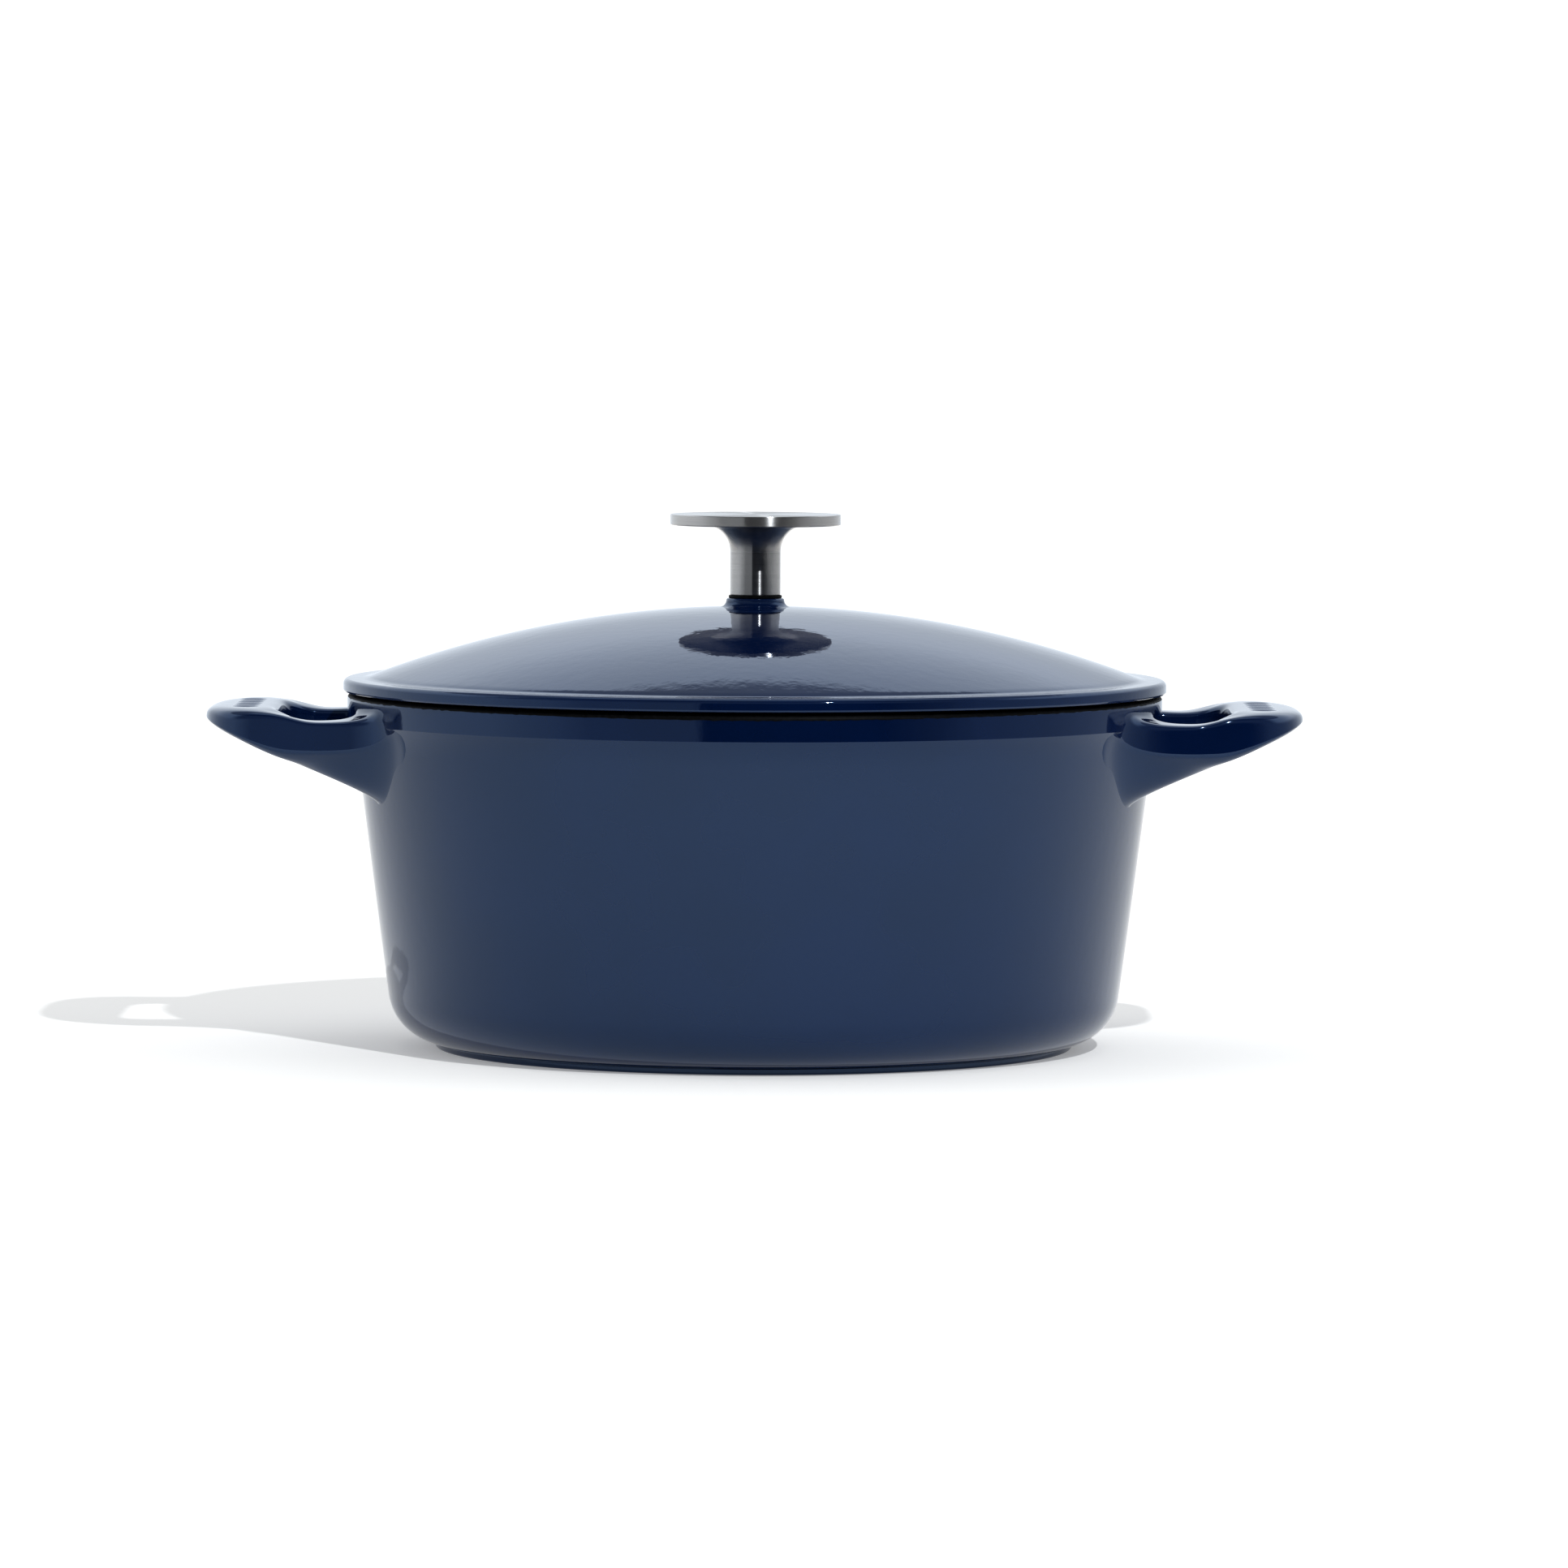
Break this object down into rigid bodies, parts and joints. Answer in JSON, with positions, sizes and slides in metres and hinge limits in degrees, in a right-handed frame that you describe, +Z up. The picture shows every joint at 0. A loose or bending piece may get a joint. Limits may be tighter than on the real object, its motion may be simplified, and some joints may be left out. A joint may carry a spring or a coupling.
{
  "type": "cast iron dutch oven",
  "caption": "Round enamelled cast iron dutch oven with loop handles and a domed, lift-off lid with a flat steel knob.",
  "frame": {"origin": "centre of the foot ring, on the surface the pot stands on", "axes": "+X through one handle, +Y across the handles, +Z up along the axis of the pot, the lid and the knob"},
  "size_m": [0.3668, 0.276, 0.1789],
  "materials": {
    "outer_enamel": "glossy navy vitreous enamel on cast iron",
    "lining_enamel": "glossy cream vitreous enamel on cast iron",
    "ground_coat": "matte black ground coat",
    "brushed_steel": "turned and brushed stainless steel",
    "screw_steel": "plain stainless steel fastener"
  },
  "bodies": {
    "pot": {"pot": "outer_enamel", "pot_lining": "lining_enamel", "pot_rim_coat": "ground_coat"},
    "lid": {"lid": "outer_enamel", "lid_lining": "lining_enamel", "lid_rim_coat": "ground_coat", "knob": "brushed_steel", "knob_seat_washer": "ground_coat", "knob_screw": "screw_steel", "knob_spring_washer": "screw_steel"}
  },
  "joints": [
    {"name": "lid_lift", "type": "slide", "parent": "pot", "child": "lid", "axis": [0, 0, 1], "range_m": [0, 0.2]}
  ]
}
